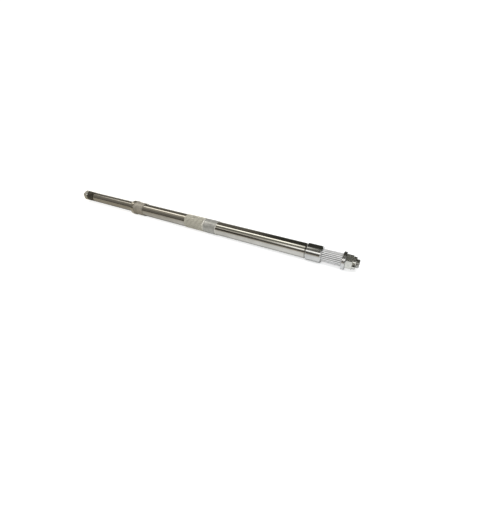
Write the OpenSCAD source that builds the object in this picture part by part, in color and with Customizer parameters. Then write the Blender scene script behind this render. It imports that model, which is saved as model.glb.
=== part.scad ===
// Solid rear axle of an all-terrain vehicle, with its sleeves and hub nuts.
// The axle lies along Y. Its right end is at -Y and its left end at +Y, as seen from behind the vehicle.
// Stations along the bar are measured from the right end.

/* [Bar diameters] */
// Diameter of the two long plain runs
run_d = 35; // [33:0.5:36]
// Diameter of the ends that take the hubs
end_d = 29.2; // [27:0.1:31]
// Diameter of the ground bearing seat and of the drive spline's crests
seat_d = 36.8; // [36.4:0.1:38]
// Outside diameter of the end threads
thread_d = 20; // [18:0.5:22]

/* [Bar lengths, right to left] */
// How far each threaded end stands past its nut
stub_out = 6.5; // [5:0.5:14]
// Length of the right hub spline
right_spline_len = 43; // [35:0.5:60]
// Length of the right plain run
right_run_len = 237.5; // [180:0.5:300]
// Length of the ground bearing seat
seat_len = 39; // [25:0.5:60]
// Width of the retaining ring groove
ring_groove_w = 4; // [2:0.1:6]
// Length of the drive spline
drive_spline_len = 60; // [40:0.5:90]
// Length of the left plain run
left_run_len = 163; // [120:0.5:220]
// Length of the bare shank between the bearing sleeve and the left hub spline
shank_len = 192; // [140:0.5:240]
// Length of the left hub spline
left_spline_len = 28; // [18:0.5:50]

/* [Splines and grooves] */
// Number of teeth on each hub spline
hub_teeth = 22; // [16:1:26]
// Depth of the hub spline teeth
hub_tooth_depth = 1.5; // [1:0.1:1.8]
// Number of teeth on the drive spline
drive_teeth = 36; // [24:1:40]
// Width of the relief groove at the inner end of each hub spline
relief_w = 3; // [2:0.1:5]
// Depth of the retaining ring groove
ring_groove_depth = 1.5; // [1:0.1:2.5]
// Diameter of the cotter-pin holes
pin_hole_d = 4; // [3:0.1:4.4]

/* [Right hub spacer] */
// Outside diameter
spacer_d = 38.7; // [37:0.1:42]
// Length
spacer_len = 34.5; // [20:0.5:50]
// Chamfer on the end that faces the wheel hub
spacer_nose = 1.6; // [0.5:0.1:3.5]

/* [Left bearing sleeve] */
// Diameter of the bearing seat
sleeve_d = 38; // [36:0.1:40]
// Length of the bearing seat
sleeve_seat_len = 36; // [20:0.5:50]
// Diameter of the flange that stops the bearing
flange_d = 40.6; // [40.2:0.1:46]
// Thickness of the flange
flange_t = 12; // [6:0.5:18]

/* [Nuts and washer] */
// Width of the nuts across flats
nut_af = 30; // [28:0.5:34]
// Height of the hexagon
nut_hex_h = 14.5; // [12:0.5:20]
// Height of the slotted crown above the hexagon
nut_crown_h = 6; // [5:0.1:8]
// Diameter of the crown
nut_crown_d = 27.5; // [25:0.1:27.9]
// Width of the crown's slots
nut_slot_w = 4.5; // [4.5:0.1:6]
// Outside diameter of the washer
washer_d = 39; // [36:0.5:44]
// Thickness of the washer
washer_t = 7; // [2:0.5:9]

/* [Fits] */
// Radial gap between a sleeve or nut and the bar
slip = 0.05; // [0.02:0.01:0.2]
// Small chamfer on turned edges
edge = 0.8; // [0.3:0.1:1.2]

/* [Hidden] */
$fn = 96;

run_r = run_d / 2;
end_r = end_d / 2;
seat_r = seat_d / 2;
thread_r = thread_d / 2;
// The bar and the bores of its nuts are drawn at the root of the threads
thread_depth = 0.9;
thread_root_r = thread_r - thread_depth;
nut_h = nut_hex_h + nut_crown_h;

// Stations of the bar's steps, from its right end
s_right_nut = stub_out + nut_h;
s_right_hub = s_right_nut + washer_t;
s_spacer = s_right_hub + right_spline_len;
s_right_run = s_spacer + spacer_len;
s_seat = s_right_run + right_run_len;
s_groove = s_seat + seat_len;
s_drive = s_groove + ring_groove_w;
s_left_run = s_drive + drive_spline_len;
s_sleeve = s_left_run + left_run_len;
s_flange = s_sleeve + sleeve_seat_len;
s_shank = s_flange + flange_t;
s_relief = s_shank + shank_len;
s_left_hub = s_relief + relief_w;
s_left_nut = s_left_hub + left_spline_len;
bar_len = s_left_nut + nut_h + stub_out;

// Roots of the splines, thread reliefs and grooves
hub_root_r = end_r - hub_tooth_depth;
relief_below_root = 0.2;
relief_r = hub_root_r - relief_below_root;
drive_root_clear = 0.15;
drive_root_r = run_r + drive_root_clear;
ring_groove_r = seat_r - ring_groove_depth;
thread_relief_w = 2.5;
thread_relief_depth = 0.4;
thread_relief_r = thread_root_r - thread_relief_depth;
thread_chamfer = 0.9;
run_chamfer = 2;
// How far a cut runs past the surface it opens
over = 1;

// Small forms of the nuts: bevelled corners, countersunk bore, and slots cut a little into the hexagon
nut_face_inset = 0.4;
nut_bevel_angle = 30;
nut_sink_clear = 0.2;
nut_slot_sink = 0.5;
// Radial gap between the washer's bore and the crests of the thread
washer_clear = 0.4;

// A stretch of a turned bar from station a to b at radius r, with chamfers ca and cb at its ends
function stretch(a, b, r, ca = 0, cb = 0) = concat(
  ca > 0 ? [[r - ca, a], [r, a + ca]] : [[r, a]],
  cb > 0 ? [[r, b - cb], [r - cb, b]] : [[r, b]]
);

// Outline of the bar's half section, as radius and station
bar_outline = concat(
  [[0, 0]],
  stretch(0, s_right_hub - thread_relief_w, thread_root_r, thread_chamfer),
  stretch(s_right_hub - thread_relief_w, s_right_hub, thread_relief_r),
  stretch(s_right_hub, s_spacer, end_r, edge),
  stretch(s_spacer, s_spacer + relief_w, relief_r),
  stretch(s_spacer + relief_w, s_right_run, end_r, edge),
  stretch(s_right_run, s_seat, run_r, run_chamfer),
  stretch(s_seat, s_groove, seat_r, edge, edge / 2),
  stretch(s_groove, s_drive, ring_groove_r),
  stretch(s_drive, s_left_run, seat_r, edge / 2, edge),
  stretch(s_left_run, s_sleeve, run_r),
  stretch(s_sleeve, s_relief, end_r, 0, edge),
  stretch(s_relief, s_left_hub, relief_r),
  stretch(s_left_hub, s_left_nut, end_r, edge / 2, edge),
  stretch(s_left_nut, s_left_nut + thread_relief_w, thread_relief_r),
  stretch(s_left_nut + thread_relief_w, bar_len, thread_root_r, 0, thread_chamfer),
  [[0, bar_len]]
);

// Lays a shape that was turned about Z along the axle, with its zero at station s
module along_axle(s = 0)
  translate([0, s - bar_len / 2, 0])
    rotate([-90, 0, 0])
      children();

// The gaps between straight-sided spline teeth, from station a to b
module spline_gaps(a, b, teeth, crest_r, root_r, flank = 30) {
  pitch_gap = PI * (crest_r + root_r) / teeth / 2;
  slope = tan(flank);
  root_half = pitch_gap / 2 - (crest_r - root_r) / 2 * slope;
  lip_r = crest_r + over;
  lip_half = root_half + (lip_r - root_r) * slope;
  for (i = [0 : teeth - 1])
    rotate(i * 360 / teeth)
      translate([0, 0, a])
        linear_extrude(b - a)
          polygon([
            [root_r, -root_half], [lip_r, -lip_half],
            [lip_r, lip_half], [root_r, root_half]
          ]);
}

// A lathe centre in an end face: a short pilot and a 60 degree cone
module lathe_centre() {
  mouth_d = 6.3;
  pilot_d = 3;
  cone_half_angle = 30;
  cone_h = (mouth_d - pilot_d) / 2 / tan(cone_half_angle);
  pilot_depth = 8;
  rotate_extrude()
    polygon([
      [0, -over], [mouth_d / 2, -over], [mouth_d / 2, 0],
      [pilot_d / 2, cone_h], [pilot_d / 2, pilot_depth], [0, pilot_depth]
    ]);
}

// A cotter-pin hole straight across the bar, level with the crown's slots
module pin_hole(s)
  translate([0, 0, s])
    rotate([0, 90, 0])
      cylinder(h = thread_d + 2 * over, d = pin_hole_d, center = true);

module axle_shaft() {
  pin_in = stub_out + nut_crown_h / 2;
  color("gainsboro")
    along_axle()
      difference() {
        rotate_extrude() polygon(bar_outline);
        spline_gaps(s_right_hub - over, s_spacer + relief_w / 2, hub_teeth, end_r, hub_root_r);
        spline_gaps(s_left_hub - relief_w / 2, s_left_nut + over, hub_teeth, end_r, hub_root_r);
        spline_gaps(s_groove + ring_groove_w / 2, s_left_run + over, drive_teeth, seat_r, drive_root_r);
        pin_hole(pin_in);
        pin_hole(bar_len - pin_in);
        lathe_centre();
        translate([0, 0, bar_len]) mirror([0, 0, 1]) lathe_centre();
      }
}

module right_hub_spacer() {
  r = spacer_d / 2;
  bore_r = end_r + slip;
  color("lightgray")
    along_axle(s_spacer)
      rotate_extrude()
        polygon(concat(
          [[bore_r + edge, 0]],
          stretch(0, spacer_len, r, spacer_nose, run_chamfer),
          [[bore_r + edge, spacer_len], [bore_r, spacer_len - edge], [bore_r, edge]]
        ));
}

module left_bearing_sleeve() {
  bore_r = end_r + slip;
  seat_end = sleeve_seat_len;
  corner_w = 2;
  corner_depth = 0.3;
  color("darkgray")
    along_axle(s_sleeve)
      rotate_extrude()
        polygon(concat(
          [[bore_r + edge, 0]],
          stretch(0, seat_end - corner_w, sleeve_d / 2, edge),
          stretch(seat_end - corner_w, seat_end, sleeve_d / 2 - corner_depth),
          stretch(seat_end, seat_end + flange_t, flange_d / 2, edge / 2, edge),
          [[bore_r + edge, seat_end + flange_t], [bore_r, seat_end + flange_t - edge], [bore_r, edge]]
        ));
}

module right_hub_washer() {
  bevel = edge / 2;
  bore_r = thread_r + washer_clear;
  color("gray")
    along_axle(s_right_nut)
      rotate_extrude()
        polygon(concat(
          [[bore_r, 0]],
          stretch(0, washer_t, washer_d / 2, bevel, bevel),
          [[bore_r, washer_t]]
        ));
}

// A slotted hexagon nut: its seat is at zero, and its crown points along +Z
module castle_nut() {
  corner_r = nut_af / sqrt(3);
  face_r = nut_af / 2 - nut_face_inset;
  bevel_r = corner_r + over;
  bevel_up = (bevel_r - face_r) * tan(nut_bevel_angle);
  crown_r = nut_crown_d / 2;
  bore_r = thread_root_r + slip;
  sink_r = thread_r + nut_sink_clear;
  sink = sink_r - bore_r;
  difference() {
    union() {
      intersection() {
        cylinder(h = nut_hex_h, r = corner_r, $fn = 6);
        rotate_extrude()
          polygon([
            [0, -over], [face_r, -over], [face_r, 0], [bevel_r, bevel_up],
            [bevel_r, nut_hex_h - bevel_up], [face_r, nut_hex_h], [face_r, nut_hex_h + over],
            [0, nut_hex_h + over]
          ]);
      }
      rotate_extrude()
        polygon([
          [0, nut_hex_h / 2], [crown_r, nut_hex_h / 2], [crown_r, nut_h - edge],
          [crown_r - edge, nut_h], [0, nut_h]
        ]);
    }
    rotate_extrude()
      polygon([
        [0, -over], [sink_r, -over], [sink_r, 0], [bore_r, sink],
        [bore_r, nut_h - sink], [sink_r, nut_h], [sink_r, nut_h + over], [0, nut_h + over]
      ]);
    for (i = [0 : 2])
      rotate(30 + i * 60)
        translate([-nut_af, -nut_slot_w / 2, nut_hex_h - nut_slot_sink])
          cube([2 * nut_af, nut_slot_w, nut_crown_h + nut_slot_sink + over]);
  }
}

module right_castle_nut()
  color("darkgray")
    along_axle(s_right_nut)
      mirror([0, 0, 1])
        rotate(90)
          castle_nut();

module left_castle_nut()
  color("darkgray")
    along_axle(s_left_nut)
      rotate(90)
        castle_nut();

axle_shaft();
right_hub_spacer();
left_bearing_sleeve();
right_hub_washer();
right_castle_nut();
left_castle_nut();
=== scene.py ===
# %% [markdown]
# # A solid rear axle
# The axle is a turned steel bar, almost a metre long, with two slip-on sleeves, a washer and two slotted
# nuts. Its solids come ready made, in metres, with the bar lying along Y and its right end at -Y. This
# lesson turns a finer bar from the same sizes, cuts real threads on it, gives every surface its finish, and
# sets up the studio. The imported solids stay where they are, so nothing has to be fitted afterwards.

# %% Load the solids
import math
import bmesh
import bpy
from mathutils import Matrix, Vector


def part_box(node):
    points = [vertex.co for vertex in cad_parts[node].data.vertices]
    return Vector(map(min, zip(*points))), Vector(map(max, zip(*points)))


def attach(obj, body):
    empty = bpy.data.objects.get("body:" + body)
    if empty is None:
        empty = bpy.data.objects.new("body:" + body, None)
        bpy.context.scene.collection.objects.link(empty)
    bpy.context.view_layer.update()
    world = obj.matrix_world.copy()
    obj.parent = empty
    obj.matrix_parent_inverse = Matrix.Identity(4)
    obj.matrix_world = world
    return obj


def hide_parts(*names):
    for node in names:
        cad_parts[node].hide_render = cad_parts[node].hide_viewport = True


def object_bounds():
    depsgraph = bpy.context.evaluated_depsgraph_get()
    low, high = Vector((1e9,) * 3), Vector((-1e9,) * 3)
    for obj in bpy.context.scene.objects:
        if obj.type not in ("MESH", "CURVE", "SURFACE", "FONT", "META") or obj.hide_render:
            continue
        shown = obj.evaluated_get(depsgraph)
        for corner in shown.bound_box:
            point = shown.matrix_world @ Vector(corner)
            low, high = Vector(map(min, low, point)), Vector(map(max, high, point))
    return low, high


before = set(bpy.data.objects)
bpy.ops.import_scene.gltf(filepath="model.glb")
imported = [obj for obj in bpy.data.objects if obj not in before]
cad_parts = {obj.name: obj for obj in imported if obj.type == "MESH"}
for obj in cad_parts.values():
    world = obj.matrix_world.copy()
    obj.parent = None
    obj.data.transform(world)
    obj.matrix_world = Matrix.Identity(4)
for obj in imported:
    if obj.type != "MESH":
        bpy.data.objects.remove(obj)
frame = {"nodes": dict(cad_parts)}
nodes = frame["nodes"]
solid_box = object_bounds()
MM = 0.001
print("solids:", ", ".join(nodes), "box:", [[round(c, 4) for c in corner] for corner in solid_box])

# %% [markdown]
# ## Stations along the bar
# A turner reads a bar from one end, so every step is given as a station in millimetres from the right end.
# The loose pieces already lie at their seats, and most stations can be read from their boxes.
# Only the steps that no loose piece touches, such as the middle bearing seat, are repeated as sizes here.

# %% Stations in millimetres
right_end_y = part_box("axle_shaft")[0].y
BAR_LEN = (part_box("axle_shaft")[1].y - right_end_y) / MM


def station(y):
    """Station in millimetres of a place along Y in metres."""
    return (y - right_end_y) / MM


def place(s):
    """Place along Y in metres of a station in millimetres."""
    return right_end_y + s * MM


def within(y, a, b):
    """Whether a place along Y lies between stations a and b, give or take a hundredth of a millimetre."""
    return a - 0.01 < station(y) < b + 0.01


S_RIGHT_CROWN = station(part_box("right_castle_nut")[0].y)
S_RIGHT_HUB = station(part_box("right_hub_washer")[1].y)
S_SPACER = station(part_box("right_hub_spacer")[0].y)
S_RIGHT_RUN = station(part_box("right_hub_spacer")[1].y)
S_SLEEVE = station(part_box("left_bearing_sleeve")[0].y)
S_SHANK = station(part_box("left_bearing_sleeve")[1].y)
S_LEFT_NUT = station(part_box("left_castle_nut")[0].y)
S_LEFT_CROWN = station(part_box("left_castle_nut")[1].y)
FLANGE_T = 12
SEAT_LEN = 39
RING_GROOVE_W = 4
DRIVE_SPLINE_LEN = 60
RELIEF_W = 3
LEFT_SPLINE_LEN = 28
LEFT_RUN_LEN = 163
S_FLANGE = S_SHANK - FLANGE_T
S_LEFT_RUN = S_SLEEVE - LEFT_RUN_LEN
S_DRIVE = S_LEFT_RUN - DRIVE_SPLINE_LEN
S_GROOVE = S_DRIVE - RING_GROOVE_W
S_SEAT = S_GROOVE - SEAT_LEN
S_LEFT_HUB = S_LEFT_NUT - LEFT_SPLINE_LEN
S_RELIEF = S_LEFT_HUB - RELIEF_W
print("bar", round(BAR_LEN, 2), "mm; seat at", round(S_SEAT, 2), "drive spline at", round(S_DRIVE, 2))

# %% [markdown]
# ## Outline of the bar
# A turned bar is known by its half section: a list of stations and radii.
# It could be drawn as a curve and lathed, but a list of plain steps is easier to read and to change.
# It starts and ends inside the two lathe centres, the small cones that held the bar while it was turned.

# %% Radii in millimetres and the outline
RUN_R = 17.5
END_R = 14.6
SEAT_R = 18.4
RING_GROOVE_R = 16.9
HUB_ROOT_R = 13.1
DRIVE_ROOT_R = 17.65
RELIEF_R = 12.9
THREAD_ROOT_R = 9.1
THREAD_R = 10.0
THREAD_RELIEF_R = 8.7
THREAD_RELIEF_W = 2.5
THREAD_CHAMFER = 0.9
EDGE = 0.8
RUN_CHAMFER = 2
PILOT_R = 1.5
PILOT_DEPTH = 8
CENTRE_MOUTH_R = 3.15
CENTRE_DEPTH = (CENTRE_MOUTH_R - PILOT_R) / math.tan(math.radians(30))


def stretch(a, b, r, chamfer_a=0, chamfer_b=0):
    """Points of a plain stretch from station a to b at radius r, with a chamfer at either end."""
    start = [(a, r - chamfer_a), (a + chamfer_a, r)] if chamfer_a else [(a, r)]
    end = [(b - chamfer_b, r), (b, r - chamfer_b)] if chamfer_b else [(b, r)]
    return start + end


right_centre = [(PILOT_DEPTH, PILOT_R), (CENTRE_DEPTH, PILOT_R), (0, CENTRE_MOUTH_R)]
left_centre = [(BAR_LEN - s, r) for s, r in reversed(right_centre)]
bar_outline = (
    right_centre
    + stretch(0, S_RIGHT_HUB - THREAD_RELIEF_W, THREAD_ROOT_R, THREAD_CHAMFER)
    + stretch(S_RIGHT_HUB - THREAD_RELIEF_W, S_RIGHT_HUB, THREAD_RELIEF_R)
    + stretch(S_RIGHT_HUB, S_SPACER, END_R, EDGE)
    + stretch(S_SPACER, S_SPACER + RELIEF_W, RELIEF_R)
    + stretch(S_SPACER + RELIEF_W, S_RIGHT_RUN, END_R, EDGE)
    + stretch(S_RIGHT_RUN, S_SEAT, RUN_R, RUN_CHAMFER)
    + stretch(S_SEAT, S_GROOVE, SEAT_R, EDGE, EDGE / 2)
    + stretch(S_GROOVE, S_DRIVE, RING_GROOVE_R)
    + stretch(S_DRIVE, S_LEFT_RUN, SEAT_R, EDGE / 2, EDGE)
    + stretch(S_LEFT_RUN, S_SLEEVE, RUN_R)
    + stretch(S_SLEEVE, S_RELIEF, END_R, 0, EDGE)
    + stretch(S_RELIEF, S_LEFT_HUB, RELIEF_R)
    + stretch(S_LEFT_HUB, S_LEFT_NUT, END_R, EDGE / 2, EDGE)
    + stretch(S_LEFT_NUT, S_LEFT_NUT + THREAD_RELIEF_W, THREAD_RELIEF_R)
    + stretch(S_LEFT_NUT + THREAD_RELIEF_W, BAR_LEN, THREAD_ROOT_R, 0, THREAD_CHAMFER)
    + left_centre
)
print("bar outline:", len(bar_outline), "points")

# %% [markdown]
# ## Turning the blank
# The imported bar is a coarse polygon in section, and a mirror finish shows that at once along its edge. A
# finer bar is turned here: a filled circle is added in the right lathe centre, then extruded from station
# to station and scaled to each radius, as one would do by hand. A ring of 396 points divides by both 22 and
# 36, the numbers of spline teeth, so the teeth can later be shaped on the same rings with no cutting.

# %% Turn the blank
RING_POINTS = 396


def start_clean():
    """Leave edit mode and deselect everything, because operators act on all that is selected."""
    if bpy.context.object and bpy.context.object.mode != "OBJECT":
        bpy.ops.object.mode_set(mode="OBJECT")
    bpy.ops.object.select_all(action="DESELECT")


def pick(piece):
    """Make a piece the active object and the only one that is selected."""
    start_clean()
    bpy.context.view_layer.objects.active = piece
    piece.select_set(True)


def turned(name, outline, points):
    """A closed turned solid along Y, from a list of stations and radii in millimetres."""
    start_clean()
    s, r = outline[0]
    bpy.ops.mesh.primitive_circle_add(
        vertices=points, radius=r * MM, fill_type="NGON",
        location=(0, place(s), 0), rotation=(math.radians(90), 0, 0))
    piece = bpy.context.object
    piece.name = name
    bpy.ops.object.transform_apply(location=True, rotation=True, scale=True)
    bpy.ops.object.mode_set(mode="EDIT")
    bpy.ops.mesh.select_all(action="SELECT")
    for (s, r), (next_s, next_r) in zip(outline, outline[1:]):
        bpy.ops.mesh.extrude_region_move(TRANSFORM_OT_translate={"value": (0, (next_s - s) * MM, 0)})
        if next_r != r:
            bpy.ops.transform.resize(value=(next_r / r, 1, next_r / r), center_override=(0, place(next_s), 0))
    bpy.ops.mesh.select_all(action="SELECT")
    bpy.ops.mesh.normals_make_consistent(inside=False)
    bpy.ops.object.mode_set(mode="OBJECT")
    return piece


bar = turned("turned_bar", bar_outline, RING_POINTS)
print("turned bar:", len(bar.data.vertices), "vertices,", len(bar.data.polygons), "faces")

# %% [markdown]
# ## Spline teeth
# The hubs and the drive gear slide onto straight-sided teeth. On the real bar a hob cuts the gaps between
# them. Cutting 80 gaps with Boolean solids would leave ragged faces, so the rings of each spline are shaped
# instead: every point that lies in a gap is drawn in towards the axis, to the root or to the sloping flank.

# %% Shape the splines
FLANK_SLOPE = math.tan(math.radians(30))
HUB_TEETH = 22
DRIVE_TEETH = 36


def radius(point):
    """Distance of a point from the bar's axis, in millimetres."""
    return math.hypot(point.x, point.z) / MM


def gap_radius(angle, teeth, crest_r, root_r):
    """Radius of the tooth form at an angle from the middle of a gap."""
    gap_at_pitch = math.pi * (crest_r + root_r) / teeth / 2
    root_half = gap_at_pitch / 2 - (crest_r - root_r) / 2 * FLANK_SLOPE
    floor_r = root_r / math.cos(angle)
    if floor_r * math.sin(angle) <= root_half:
        return floor_r
    return min(crest_r, (root_half - root_r * FLANK_SLOPE) / (math.sin(angle) - FLANK_SLOPE * math.cos(angle)))


def cut_spline(piece, a, b, teeth, crest_r, root_r):
    """Draw in the points of the rings from station a to b that lie in the gaps between the teeth."""
    pick(piece)
    bpy.ops.object.mode_set(mode="EDIT")
    mesh = bmesh.from_edit_mesh(piece.data)
    pitch = 2 * math.pi / teeth
    moves = {}
    for v in mesh.verts:
        if within(v.co.y, a, b) and radius(v.co) > root_r:
            angle = abs((math.atan2(v.co.z, v.co.x) + pitch / 2) % pitch - pitch / 2)
            wanted = gap_radius(angle, teeth, crest_r, root_r)
            if wanted < radius(v.co) - 0.001:
                moves.setdefault(round(wanted / radius(v.co), 5), []).append(v)
    for share, points in moves.items():
        bpy.ops.mesh.select_all(action="DESELECT")
        for v in points:
            v.select_set(True)
        bpy.ops.transform.resize(value=(share, 1, share), center_override=(0, 0, 0))
    bpy.ops.object.mode_set(mode="OBJECT")
    print("spline at", round(a, 1), "to", round(b, 1), "mm:", teeth, "teeth,", len(moves), "moves")


cut_spline(bar, S_RIGHT_HUB, S_SPACER, HUB_TEETH, END_R, HUB_ROOT_R)
cut_spline(bar, S_DRIVE, S_LEFT_RUN, DRIVE_TEETH, SEAT_R, DRIVE_ROOT_R)
cut_spline(bar, S_LEFT_HUB, S_LEFT_NUT, HUB_TEETH, END_R, HUB_ROOT_R)

# %% [markdown]
# ## Cotter-pin holes
# A hole across each threaded end lines up with two of the nut's slots, so that a bent pin can lock the nut.
# A Boolean modifier cuts it with a plain drill, which is the simplest way to make one clean round hole.

# %% Drill the cotter-pin holes
PIN_HOLE_R = 2.0
CROWN_H = 6
DRILL_POINTS = 48
pin_stations = [S_RIGHT_CROWN + CROWN_H / 2, S_LEFT_CROWN - CROWN_H / 2]


def apply_boolean(piece, tool, operation):
    """Apply one Boolean with a tool body, then throw the tool away."""
    pick(piece)
    cut = piece.modifiers.new("cut", "BOOLEAN")
    cut.operation = operation
    cut.solver = "EXACT"
    cut.object = tool
    bpy.ops.object.modifier_apply(modifier=cut.name)
    bpy.data.objects.remove(tool)


def drill(piece, s):
    """Drill one cotter-pin hole across the bar at a station."""
    start_clean()
    bpy.ops.mesh.primitive_cylinder_add(
        vertices=DRILL_POINTS, radius=PIN_HOLE_R * MM, depth=3 * THREAD_R * MM,
        location=(0, place(s), 0), rotation=(0, math.radians(90), 0))
    apply_boolean(piece, bpy.context.object, "DIFFERENCE")


for s in pin_stations:
    drill(bar, s)
print("pin holes at", [round(s, 1) for s in pin_stations], "mm; bar now has", len(bar.data.polygons), "faces")

# %% [markdown]
# ## Threads
# Each end has a fine right-hand thread, cut by a die that fades out on the chamfered end. A bump map would
# look flat in profile, so the ridge is real: one small trapezoid is swept by a Screw modifier, its ends are
# closed, and a turned envelope trims it to the chamfer. The drill passes through it as well.

# %% Cut the threads
THREAD_PITCH = 1.5
THREAD_STEPS = 72
RIDGE_SINK = 0.05
RIDGE_CREST = 0.25
RIDGE_BASE = 1.35
THREAD_SHOWN = S_RIGHT_CROWN + CROWN_H + 1.5
ENVELOPE_R = THREAD_R + 0.2


def thread_ridge(name, start):
    """A helical ridge that starts at a station and climbs towards the left end of the bar."""
    start_clean()
    foot_r = THREAD_ROOT_R - RIDGE_SINK
    depth = THREAD_R - foot_r
    bpy.ops.mesh.primitive_plane_add(size=MM, location=((foot_r + depth / 2) * MM, place(start), 0))
    ridge = bpy.context.object
    ridge.name = name
    bpy.ops.object.mode_set(mode="EDIT")
    bpy.ops.transform.resize(value=(depth, RIDGE_BASE, 1))
    mesh = bmesh.from_edit_mesh(ridge.data)
    for v in mesh.verts:
        v.select_set(v.co.x > 0)
    mesh.select_flush_mode()
    bpy.ops.transform.resize(value=(1, RIDGE_CREST / RIDGE_BASE, 1))
    bpy.ops.object.mode_set(mode="OBJECT")
    bpy.ops.object.transform_apply(location=True, rotation=True, scale=True)
    sweep = ridge.modifiers.new("sweep", "SCREW")
    sweep.axis = "Y"
    sweep.screw_offset = THREAD_PITCH * MM
    sweep.iterations = math.ceil(THREAD_SHOWN / THREAD_PITCH)
    sweep.steps = sweep.render_steps = THREAD_STEPS
    sweep.use_merge_vertices = False
    bpy.ops.object.modifier_apply(modifier=sweep.name)
    bpy.ops.object.mode_set(mode="EDIT")
    bpy.ops.mesh.select_all(action="SELECT")
    bpy.ops.mesh.remove_doubles(threshold=MM / 1000)
    bpy.ops.mesh.fill_holes(sides=0)
    bpy.ops.mesh.select_all(action="SELECT")
    bpy.ops.mesh.normals_make_consistent(inside=False)
    bpy.ops.object.mode_set(mode="OBJECT")
    return ridge


trim = THREAD_ROOT_R - THREAD_CHAMFER
envelope = [(0, trim), (ENVELOPE_R - trim, ENVELOPE_R), (THREAD_SHOWN, ENVELOPE_R)]
envelopes = {
    "right_thread": envelope,
    "left_thread": [(BAR_LEN - s, r) for s, r in reversed(envelope)],
}
threads = []
for (name, outline), pin_s in zip(envelopes.items(), pin_stations):
    ridge = thread_ridge(name, outline[0][0])
    apply_boolean(ridge, turned(name + "_envelope", outline, RING_POINTS // 4), "INTERSECT")
    drill(ridge, pin_s)
    threads.append(ridge)
    print(name, len(ridge.data.polygons), "faces")

# %% [markdown]
# ## Smooth shading
# Turned faces are smooth and their corners are crisp, so edges sharper than 25 degrees stay hard.

# %% Shade the new pieces
SHARP_ANGLE = math.radians(25)
for piece in [bar, *threads]:
    pick(piece)
    bpy.ops.object.shade_smooth_by_angle(angle=SHARP_ANGLE)
    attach(piece, "root")
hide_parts("axle_shaft")
print("new pieces:", bar.name, *[ridge.name for ridge in threads])

# %% [markdown]
# ## Finishes
# All pieces are steel, so what tells them apart is how each surface was made: plated and polished, ground,
# cut or zinc plated. A picture of metal could be wrapped round each piece, but it would stretch and would
# fix the light, so every finish is a metal shader whose patterns are worked out from sizes in millimetres.
# The patterns read Object coordinates, which are in metres here. Real tool marks are about 0.1 mm apart,
# too fine to show at this distance, so the rings below are drawn several times as coarse.

# %% Helpers for finishes
NOISE_LOW = 0.3
NOISE_HIGH = 0.7


def linear(hex_code):
    """Linear colour of an sRGB hex value."""
    channels = [int(hex_code[i:i + 2], 16) / 255 for i in (1, 3, 5)]
    return [c / 12.92 if c <= 0.04045 else ((c + 0.055) / 1.055) ** 2.4 for c in channels] + [1.0]


def plug(tree, node, inputs):
    """Fill inputs of a node. Each takes a plain value, or a link from another node's output."""
    for name, value in inputs.items():
        if isinstance(value, bpy.types.NodeSocket):
            tree.links.new(value, node.inputs[name])
        else:
            node.inputs[name].default_value = value


def add_node(tree, kind, inputs, **settings):
    """Add a node with its settings, fill its inputs, and return its outputs."""
    node = tree.nodes.new(kind)
    for name, value in settings.items():
        setattr(node, name, value)
    plug(tree, node, inputs)
    return node.outputs


def start_finish(name):
    """A new finish: its material, node tree and shader, and the Object coordinates for its patterns."""
    finish = bpy.data.materials.new(name)
    finish.use_nodes = True
    tree = finish.node_tree
    return finish, tree, tree.nodes["Principled BSDF"], add_node(tree, "ShaderNodeTexCoord", {})["Object"]


def per_metre(size_mm):
    """How many times a pattern of a size in millimetres repeats in a metre."""
    return 1 / (size_mm * MM)


def ring_scale(spacing_mm, waver):
    """Pattern scale that makes rings round the bar. A small waver lets each ring change on its way round."""
    return (per_metre(spacing_mm) * waver, per_metre(spacing_mm), per_metre(spacing_mm) * waver)


# %% [markdown]
# ### Hard chrome
# The long runs and the spacer are ground and then hard chromed. To the eye that is a cool mirror, with
# faint rings left by the grinding wheel and a cloudy change of tone where hands and rags have been.

# %% Hard chrome


def hard_chrome(name, dark, pale, ring_mm=0.8, smear_mm=28, gloss_from=0.07, gloss_to=0.15):
    """Plated and polished: a mirror with faint rings and smears."""
    finish, tree, shader, where = start_finish(name)
    wound = add_node(tree, "ShaderNodeMapping", {
        "Vector": where, "Scale": ring_scale(ring_mm, waver=0.02)})["Vector"]
    rings = add_node(tree, "ShaderNodeTexNoise", {"Vector": wound, "Scale": 1, "Detail": 2})["Fac"]
    smears = add_node(tree, "ShaderNodeTexNoise", {
        "Vector": where, "Scale": per_metre(smear_mm), "Detail": 3})["Fac"]
    tone = add_node(tree, "ShaderNodeMapRange", {
        "Value": smears, "From Min": NOISE_LOW, "From Max": NOISE_HIGH})["Result"]
    colour = add_node(tree, "ShaderNodeMix", {
        "Factor": tone, "A": linear(dark), "B": linear(pale)}, data_type="RGBA")["Result"]
    gloss = add_node(tree, "ShaderNodeMapRange", {
        "Value": rings, "From Min": NOISE_LOW, "From Max": NOISE_HIGH,
        "To Min": gloss_from, "To Max": gloss_to})["Result"]
    relief = add_node(tree, "ShaderNodeBump", {
        "Height": rings, "Strength": 0.25, "Distance": 0.004 * MM})["Normal"]
    plug(tree, shader, {"Base Color": colour, "Metallic": 1, "Roughness": gloss, "Normal": relief})
    return finish


bar_chrome = hard_chrome("hard_chrome_on_ground_steel", "#C2C0BA", "#D0CEC9")
spacer_chrome = hard_chrome("hard_chrome_on_turned_sleeve", "#C6C6C5", "#D4D4D2")
print("chrome:", bar_chrome.name, spacer_chrome.name)

# %% [markdown]
# ### Ground steel
# Bearing seats are ground to size and left matt: a soft grey that catches light along its length. Bare
# steel carries a thin film of oil, which scatters light, so the shader is only half metal. The ring groove
# and the seat's edge are painted pale, a painted highlight on turned steel. The flange of the sleeve was
# polished. Sleeve and flange share one finish, which changes at the flange's station, as they are one solid.

# %% Ground steel
GROUND_SPREAD = 0.06
POLISHED = "#D6D2C8"
POLISHED_SHARE = 0.35
POLISH_EDGE = 0.1


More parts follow.
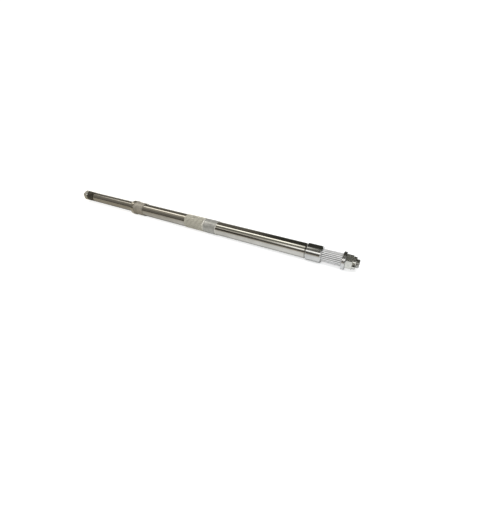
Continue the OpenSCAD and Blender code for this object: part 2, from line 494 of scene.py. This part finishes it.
def ground_steel(name, dark, pale, roughness, bareness=0.5, polished_from=None, ring_mm=0.6, smear_mm=9):
    """Ground and left matt, with an optional station from which it is polished."""
    finish, tree, shader, where = start_finish(name)
    wound = add_node(tree, "ShaderNodeMapping", {
        "Vector": where, "Scale": ring_scale(ring_mm, waver=0.05)})["Vector"]
    rings = add_node(tree, "ShaderNodeTexNoise", {"Vector": wound, "Scale": 1, "Detail": 4})["Fac"]
    smears = add_node(tree, "ShaderNodeTexNoise", {
        "Vector": where, "Scale": per_metre(smear_mm), "Detail": 3})["Fac"]
    tone = add_node(tree, "ShaderNodeMapRange", {
        "Value": smears, "From Min": NOISE_LOW, "From Max": NOISE_HIGH})["Result"]
    colour = add_node(tree, "ShaderNodeMix", {
        "Factor": tone, "A": linear(dark), "B": linear(pale)}, data_type="RGBA")["Result"]
    gloss = add_node(tree, "ShaderNodeMapRange", {
        "Value": rings, "From Min": NOISE_LOW, "From Max": NOISE_HIGH,
        "To Min": roughness - GROUND_SPREAD, "To Max": roughness + GROUND_SPREAD})["Result"]
    relief = add_node(tree, "ShaderNodeBump", {
        "Height": rings, "Strength": 0.35, "Distance": 0.02 * MM})["Normal"]
    if polished_from:
        y = add_node(tree, "ShaderNodeSeparateXYZ", {"Vector": where})["Y"]
        polish = add_node(tree, "ShaderNodeMapRange", {
            "Value": y, "From Min": place(polished_from - POLISH_EDGE),
            "From Max": place(polished_from + POLISH_EDGE)})["Result"]
        bareness = add_node(tree, "ShaderNodeMapRange", {
            "Value": polish, "To Min": bareness, "To Max": 1})["Result"]
        share = add_node(tree, "ShaderNodeMapRange", {
            "Value": polish, "To Min": 1, "To Max": POLISHED_SHARE})["Result"]
        gloss = add_node(tree, "ShaderNodeMath", {0: gloss, 1: share}, operation="MULTIPLY")["Value"]
        colour = add_node(tree, "ShaderNodeMix", {
            "Factor": polish, "A": colour, "B": linear(POLISHED)}, data_type="RGBA")["Result"]
    plug(tree, shader, {"Base Color": colour, "Metallic": bareness, "Roughness": gloss, "Normal": relief})
    return finish


seat_steel = ground_steel("ground_steel_bearing_seat", "#AAAAA5", "#C0BFBB", 0.34, bareness=0.58)
# The groove finish is painted pale: a painted highlight on the ring groove and the seat's edge.
groove_painted_highlight_steel = ground_steel("turned_steel_groove_painted_highlight", "#DAD8D0", "#F2F0E9", 0.25)
sleeve_steel = ground_steel(
    "ground_steel_flanged_sleeve", "#A29D92", "#B6B0A4", 0.4, polished_from=S_FLANGE)
print("ground steel:", seat_steel.name, groove_painted_highlight_steel.name, sleeve_steel.name)

# %% [markdown]
# ### Cut steel
# Spline teeth and threads are cut and left bare. Their colour is painted by height: pale on the crests, a
# painted highlight, and grey in the gaps, painted shade. The colour follows the distance from the bar's axis,
# so it can't drift off the teeth. The left hub spline is coloured far darker, and looks almost black.

# %% Cut steel
CUT_SPREAD = 0.09


def cut_steel(name, dark, pale, root_r, crest_r, bareness=0.5, roughness=0.45, chatter_mm=2.5):
    """Cut and left bare, from painted shade at the root radius to a painted highlight at the crest radius."""
    finish, tree, shader, where = start_finish(name)
    section = add_node(tree, "ShaderNodeVectorMath", {
        0: where, 1: (1, 0, 1)}, operation="MULTIPLY")["Vector"]
    away = add_node(tree, "ShaderNodeVectorMath", {0: section}, operation="LENGTH")["Value"]
    shade_to_highlight = add_node(tree, "ShaderNodeMapRange", {
        "Value": away, "From Min": root_r * MM, "From Max": crest_r * MM})["Result"]
    chatter = add_node(tree, "ShaderNodeTexNoise", {
        "Vector": where, "Scale": per_metre(chatter_mm), "Detail": 3})["Fac"]
    # Painted shade in the gaps, rising to a painted highlight on the crests.
    colour = add_node(tree, "ShaderNodeMix", {
        "Factor": shade_to_highlight, "A": linear(dark), "B": linear(pale)}, data_type="RGBA")["Result"]
    gloss = add_node(tree, "ShaderNodeMapRange", {
        "Value": chatter, "From Min": NOISE_LOW, "From Max": NOISE_HIGH,
        "To Min": roughness - CUT_SPREAD, "To Max": roughness + CUT_SPREAD})["Result"]
    relief = add_node(tree, "ShaderNodeBump", {
        "Height": chatter, "Strength": 0.3, "Distance": 0.02 * MM})["Normal"]
    plug(tree, shader, {"Base Color": colour, "Metallic": bareness, "Roughness": gloss, "Normal": relief})
    return finish


# The right hub spline's crests are painted near white, a painted highlight, over painted shade in its gaps.
hub_spline_steel = cut_steel(
    "cut_steel_hub_spline", "#8A8C8E", "#FDFDFE", HUB_ROOT_R, END_R, bareness=0.48, roughness=0.36)
# The left hub spline is coloured far darker than the right one, with painted shade in its gaps.
dark_left_spline_steel = cut_steel(
    "dark_steel_left_hub_spline", "#3E3B33", "#77736A", HUB_ROOT_R, END_R, bareness=0.8)
drive_spline_steel = cut_steel("cut_steel_drive_spline", "#6F6C5F", "#F2EFE2", DRIVE_ROOT_R, SEAT_R)
thread_steel = cut_steel(
    "cut_steel_thread", "#B2B1AC", "#F0F0EE", THREAD_ROOT_R, THREAD_R, bareness=1, roughness=0.26)
print("cut steel:", hub_spline_steel.name, dark_left_spline_steel.name)
print("cut steel:", drive_spline_steel.name, thread_steel.name)

# %% [markdown]
# ### Zinc plate
# The nuts and the washer are zinc plated over forged or stamped steel: satin, with a faint cloudy mottle.
# Plating also rounds every corner a little. A Bevel node gives the shader that soft edge without new faces.

# %% Zinc plate


def zinc_plate(name, dark, pale, mottle_mm=4.5, pit_mm=1.2, corner_mm=0.3, gloss_from=0.16, gloss_to=0.28):
    """Zinc plated: satin and cloudy, with soft corners."""
    finish, tree, shader, where = start_finish(name)
    mottle = add_node(tree, "ShaderNodeTexNoise", {
        "Vector": where, "Scale": per_metre(mottle_mm), "Detail": 5})["Fac"]
    pits = add_node(tree, "ShaderNodeTexNoise", {
        "Vector": where, "Scale": per_metre(pit_mm), "Detail": 3})["Fac"]
    tone = add_node(tree, "ShaderNodeMapRange", {
        "Value": mottle, "From Min": NOISE_LOW, "From Max": NOISE_HIGH})["Result"]
    colour = add_node(tree, "ShaderNodeMix", {
        "Factor": tone, "A": linear(dark), "B": linear(pale)}, data_type="RGBA")["Result"]
    gloss = add_node(tree, "ShaderNodeMapRange", {
        "Value": mottle, "From Min": NOISE_LOW, "From Max": NOISE_HIGH,
        "To Min": gloss_from, "To Max": gloss_to})["Result"]
    corners = add_node(tree, "ShaderNodeBevel", {"Radius": corner_mm * MM})["Normal"]
    relief = add_node(tree, "ShaderNodeBump", {
        "Height": pits, "Strength": 0.3, "Distance": 0.03 * MM, "Normal": corners})["Normal"]
    plug(tree, shader, {"Base Color": colour, "Metallic": 1, "Roughness": gloss, "Normal": relief})
    return finish


nut_zinc = zinc_plate("zinc_plate_on_forged_nut", "#CECEC8", "#E2E2DC")
washer_zinc = zinc_plate("zinc_plate_on_stamped_washer", "#CECECE", "#E2E2E2")
print("zinc:", nut_zinc.name, washer_zinc.name)

# %% [markdown]
# ## Dressing the pieces
# The loose solids have the right form, so they only take a finish. The bar has several, and its faces are
# selected by their station before a finish is assigned to them.

# %% Dress the pieces
loose_finishes = {
    "right_hub_spacer": spacer_chrome, "left_bearing_sleeve": sleeve_steel, "right_hub_washer": washer_zinc,
    "right_castle_nut": nut_zinc, "left_castle_nut": nut_zinc,
}
for name, finish in loose_finishes.items():
    nodes[name].material_slots[0].material = finish
for ridge in threads:
    ridge.data.materials.clear()
    ridge.data.materials.append(thread_steel)
bar.data.materials.clear()
bar.data.materials.append(bar_chrome)
bar_finishes = [
    (thread_steel, 0, S_RIGHT_HUB), (hub_spline_steel, S_RIGHT_HUB, S_SPACER),
    # The groove finish on the seat's edge and the ring groove is a painted highlight.
    (seat_steel, S_SEAT, S_GROOVE), (groove_painted_highlight_steel, S_SEAT, S_SEAT + EDGE),
    (drive_spline_steel, S_DRIVE, S_LEFT_RUN), (groove_painted_highlight_steel, S_GROOVE, S_DRIVE + EDGE / 2),
    (dark_left_spline_steel, S_LEFT_HUB, S_LEFT_NUT), (thread_steel, S_LEFT_NUT, BAR_LEN),
]
pick(bar)
for finish, a, b in bar_finishes:
    if finish.name not in bar.data.materials:
        bar.data.materials.append(finish)
    bar.active_material_index = bar.data.materials.find(finish.name)
    bpy.ops.object.mode_set(mode="EDIT")
    bpy.ops.mesh.select_all(action="DESELECT")
    mesh = bmesh.from_edit_mesh(bar.data)
    chosen = [f for f in mesh.faces if within(f.calc_center_median().y, a, b)]
    for f in chosen:
        f.select_set(True)
    bpy.ops.object.material_slot_assign()
    bpy.ops.object.mode_set(mode="OBJECT")
    print(finish.name, "on", len(chosen), "faces")

# %% [markdown]
# ## Floor
# The floor is a plain sheet of paper under the flange, the widest part of the axle. Towards the left end and
# towards the camera its colour is painted darker and warmer: painted shade for the half shade away from the
# lamps, which the lower side of the bar mirrors. The camera sees the sheet lifted to white, just far enough
# to keep a soft shadow, and so does metal near the lamps.

# %% Floor
FLOOR_SIZE = 60
SHADE_STARTS = -0.27
SHADE_ENDS = 0.3
FRONT_LIT = -0.05
FRONT_SHADED = -0.22
PAPER_LIT = "#CBCDCF"
PAPER_PAINTED_SHADE = "#948E82"
LIFT_LIT = 0.7
LIFT_SHADED = 0.87
MIRRORED_LIFT = 0.12
start_clean()
bpy.ops.mesh.primitive_plane_add(size=FLOOR_SIZE, location=(0, 0, solid_box[0].z))
floor = bpy.context.object
floor.name = "studio_floor"
paper, tree, sheet, where = start_finish("white_paper_sweep")
spot = add_node(tree, "ShaderNodeSeparateXYZ", {"Vector": where})
# Painted shade: the paper's colour darkens and warms towards the left end and towards the camera.
leftwards = add_node(tree, "ShaderNodeMapRange", {
    "Value": spot["Y"], "From Min": SHADE_STARTS, "From Max": SHADE_ENDS})["Result"]
forwards = add_node(tree, "ShaderNodeMapRange", {
    "Value": spot["X"], "From Min": FRONT_LIT, "From Max": FRONT_SHADED})["Result"]
shade = add_node(tree, "ShaderNodeMath", {0: leftwards, 1: forwards}, operation="MAXIMUM")["Value"]
colour = add_node(tree, "ShaderNodeMix", {
    "Factor": shade, "A": linear(PAPER_LIT), "B": linear(PAPER_PAINTED_SHADE)}, data_type="RGBA")["Result"]
ray = add_node(tree, "ShaderNodeLightPath", {})
for_camera = add_node(tree, "ShaderNodeMapRange", {
    "Value": shade, "To Min": LIFT_LIT, "To Max": LIFT_SHADED})["Result"]
for_metal = add_node(tree, "ShaderNodeMapRange", {
    "Value": shade, "To Min": MIRRORED_LIFT, "To Max": 0})["Result"]
seen = add_node(tree, "ShaderNodeMath", {
    0: ray["Is Camera Ray"], 1: for_camera}, operation="MULTIPLY")["Value"]
lift = add_node(tree, "ShaderNodeMath", {
    0: ray["Is Glossy Ray"], 1: for_metal, 2: seen}, operation="MULTIPLY_ADD")["Value"]
plug(tree, sheet, {
    "Base Color": colour, "Roughness": 0.9, "Specular IOR Level": 0.1,
    "Emission Color": linear("#FFFFFF"), "Emission Strength": lift})
floor.data.materials.append(paper)
print("floor at", round(solid_box[0].z / MM, 2), "mm")

# %% [markdown]
# ## Studio
# Polished metal shows its surroundings, so they are designed with care: lamps and walls that run along the
# axle. They could be built as lit planes, but those would also show to the camera and in the shadows. So
# each is a panel on the world, given by its angles round the bar's own axis, where 0 is level behind the
# bar, 90 is overhead and 180 is level in front, and by how far along the axle it reaches, from -1 at the
# right to 1 at the left. The camera itself sees plain white there, and so does metal low behind the bar,
# where that white stands in the photo.

# %% Panels of the studio
# Name, angle from and to, along from and to, level, colour
PANELS = [
    ("overhead strip lamp", 94, 109, 0.24, 0.60, 2.2, "#FFFDF2"),
    ("left half of the strip lamp", 82, 97, 0.60, 0.77, 2.1, "#FFF9EC"),
    ("left end of the strip lamp", 82, 97, 0.77, 0.84, 1.0, "#FFF9EC"),
    ("front soft box", 139, 153, -0.92, 0.33, 1.8, "#FFFEFA"),
    ("left edge of the soft box", 139, 153, 0.33, 0.6, 0.62, "#FFF9EC"),
    ("ceiling, right", 86, 109, -0.92, 0.24, 0.14, "#F8F8F0"),
    ("front wall, right", 109, 139, -0.92, 0.2, 0.1, "#F8F8F0"),
    ("front wall, middle", 109, 139, 0.2, 0.44, 0.27, "#F6F4E6"),
    ("front wall, left of middle", 109, 139, 0.44, 0.6, 0.2, "#F6F4E6"),
    ("front wall, left", 97, 130, 0.6, 0.77, 0.42, "#F4ECDC"),
    ("front wall, left end", 97, 130, 0.77, 0.95, 0.26, "#F4ECDC"),
    ("low front wall, right", 153, 165, -0.92, 0.42, 0.26, "#F6F6EE"),
    ("low front wall, left", 130, 165, 0.6, 0.95, 0.2, "#F4ECDC"),
    ("dark front skirting", 165, 200, -0.92, 0.95, 0.09, "#F4ECDC"),
    ("dim back wall, right", -40, 90, -0.92, 0.4, 0.05, "#F2F2DC"),
    ("dim back wall, left", -40, 82, 0.4, 0.95, 0.16, "#F6EEDC"),
    ("right end wall", -200, 200, -1.2, -0.92, 0.9, "#FFFFFF"),
]
ANGLE_SOFT = 2
ALONG_SOFT = 0.06
BACKDROP_LEVEL = 1.1
BACKDROP_ANGLES = (-40, 13)
studio = bpy.data.worlds.new("studio")
bpy.context.scene.world = studio
studio.use_nodes = True
tree = studio.node_tree
room = tree.nodes["Background"]
seen_from_bar = add_node(tree, "ShaderNodeTexCoord", {})["Generated"]
way = add_node(tree, "ShaderNodeSeparateXYZ", {"Vector": seen_from_bar})
turn = add_node(tree, "ShaderNodeMath", {0: way["Z"], 1: way["X"]}, operation="ARCTAN2")["Value"]
angle = add_node(tree, "ShaderNodeMath", {0: turn}, operation="DEGREES")["Value"]


def window(source, start, end, soft):
    """A value of 1 between start and end, which fades out softly on either side."""
    smooth = {"interpolation_type": "SMOOTHSTEP"}
    rise = add_node(tree, "ShaderNodeMapRange", {
        "Value": source, "From Min": start - soft, "From Max": start + soft}, **smooth)["Result"]
    fall = add_node(tree, "ShaderNodeMapRange", {
        "Value": source, "From Min": end + soft, "From Max": end - soft}, **smooth)["Result"]
    return add_node(tree, "ShaderNodeMath", {0: rise, 1: fall}, operation="MULTIPLY")["Value"]


light = (0, 0, 0)
for name, angle_from, angle_to, along_from, along_to, level, colour in PANELS:
    shape = add_node(tree, "ShaderNodeMath", {
        0: window(angle, angle_from, angle_to, ANGLE_SOFT),
        1: window(way["Y"], along_from, along_to, ALONG_SOFT)}, operation="MULTIPLY")["Value"]
    glow = [c * level for c in linear(colour)[:3]]
    panel = add_node(tree, "ShaderNodeVectorMath", {
        0: glow, "Scale": shape}, operation="SCALE", label=name)["Vector"]
    light = add_node(tree, "ShaderNodeVectorMath", {0: light, 1: panel}, operation="ADD")["Vector"]
plug(tree, room, {"Color": light})
white = add_node(tree, "ShaderNodeBackground", {
    "Color": linear("#FFFFFF"), "Strength": BACKDROP_LEVEL})["Background"]
ray = add_node(tree, "ShaderNodeLightPath", {})
mirrored = add_node(tree, "ShaderNodeMath", {
    0: ray["Is Glossy Ray"], 1: ray["Is Transmission Ray"]}, operation="MAXIMUM")["Value"]
to_white = add_node(tree, "ShaderNodeMath", {
    0: mirrored, 1: window(angle, *BACKDROP_ANGLES, ANGLE_SOFT), 2: ray["Is Camera Ray"]},
    operation="MULTIPLY_ADD")["Value"]
shown = add_node(tree, "ShaderNodeMixShader", {
    0: to_white, 1: room.outputs["Background"], 2: white})["Shader"]
plug(tree, tree.nodes["World Output"], {"Surface": shown})
print("studio panels:", len(PANELS))

# %% [markdown]
# ## Sun
# A large soft sun lights the paper and the matt surfaces from above. It isn't mirrored: bare metal would
# show it as a disc, where the real lamp was a long strip.

# %% Sun
SUN_LEVEL = 3.2
SUN_ANGLE = 104
SUN_SPREAD = 50
start_clean()
bpy.ops.object.light_add(type="SUN", rotation=(0, math.radians(90 - SUN_ANGLE), 0))
sun = bpy.context.object
sun.name = "soft_sun"
sun.data.energy = SUN_LEVEL
sun.data.angle = math.radians(SUN_SPREAD)
sun.visible_glossy = False
print("sun:", SUN_LEVEL, "spread over", SUN_SPREAD, "degrees")

# %% [markdown]
# ## Camera
# The photograph looks along the axle from its right end, close and wide, so the far end shrinks to half.
# The place and aim below reproduce that view. The lens follows from its focal length in pixels.

# %% Camera
FOCAL_PX = 260
IMAGE_LONG_PX = 512
SENSOR_MM = 36
camera_place = Vector((-0.4938, -0.481, 0.2895))
camera_aim = Vector((0.746, 0.416, -0.5201))
start_clean()
bpy.ops.object.camera_add(location=camera_place, rotation=camera_aim.to_track_quat("-Z", "Y").to_euler())
camera = bpy.context.object
camera.data.sensor_width = SENSOR_MM
camera.data.lens = FOCAL_PX * SENSOR_MM / IMAGE_LONG_PX
camera.data.clip_end = FLOOR_SIZE
bpy.context.scene.camera = camera
bpy.context.scene.view_settings.view_transform = "Standard"
print("lens:", round(camera.data.lens, 2), "mm")
